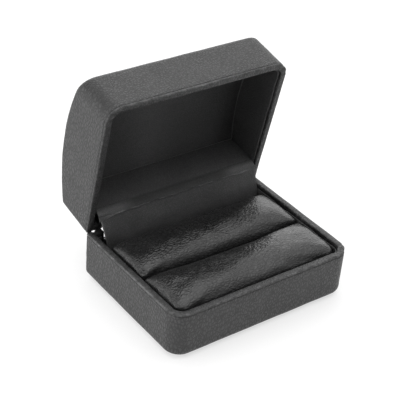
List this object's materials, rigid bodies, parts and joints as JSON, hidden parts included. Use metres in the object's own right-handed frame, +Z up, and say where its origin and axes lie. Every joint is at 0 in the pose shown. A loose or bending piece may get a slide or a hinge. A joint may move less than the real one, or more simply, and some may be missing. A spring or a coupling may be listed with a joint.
{
  "type": "jewelry gift box",
  "caption": "Small leatherette jewelry box with a domed hinged lid and a slotted roll cushion for a pair of rings or cufflinks.",
  "frame": {"origin": "centre of the base's underside, on the surface the box stands on", "axes": "+X right along the hinge, +Y from the front to the hinge side, +Z up"},
  "size_m": [0.076, 0.0744, 0.0767],
  "materials": {
    "skin": "matte fine grain leatherette",
    "roll_skin": "semi gloss pebbled leatherette",
    "lining": "matte leatherette lining",
    "card": "plain card",
    "foam": "foam",
    "sheet_steel": "pressed sheet",
    "spring_steel": "bright"
  },
  "bodies": {
    "base": {"base_cover": "skin", "base_shell": "sheet_steel", "base_underside_panel": "skin", "base_liner": "lining", "base_floor_card": "card", "insert_board": "card", "cushion_cover_front": "roll_skin", "cushion_cover_rear": "roll_skin", "cushion_core_front": "foam", "cushion_core_rear": "foam", "hinge_base_leaf": "sheet_steel", "hinge_pin": "spring_steel", "hinge_rivet_base_left": "spring_steel", "hinge_rivet_base_right": "spring_steel", "hinge_spring_left": "spring_steel", "hinge_spring_right": "spring_steel", "hinge_cover_flap": "lining"},
    "lid": {"lid_cover": "skin", "lid_shell": "sheet_steel", "lid_padding": "foam", "lid_lining_top": "lining", "lid_lining_wall": "lining", "lid_lining_back": "lining", "hinge_lid_leaf": "sheet_steel", "hinge_rivet_lid_left": "spring_steel", "hinge_rivet_lid_right": "spring_steel"}
  },
  "joints": [
    {"name": "lid_hinge", "type": "hinge", "parent": "base", "child": "lid", "pos_m": [0, 0.0277, 0.01885], "axis": [1, 0, 0], "range_deg": [0, 78.5], "deforming": ["hinge_cover_flap", "hinge_spring_left", "hinge_spring_right"]}
  ]
}
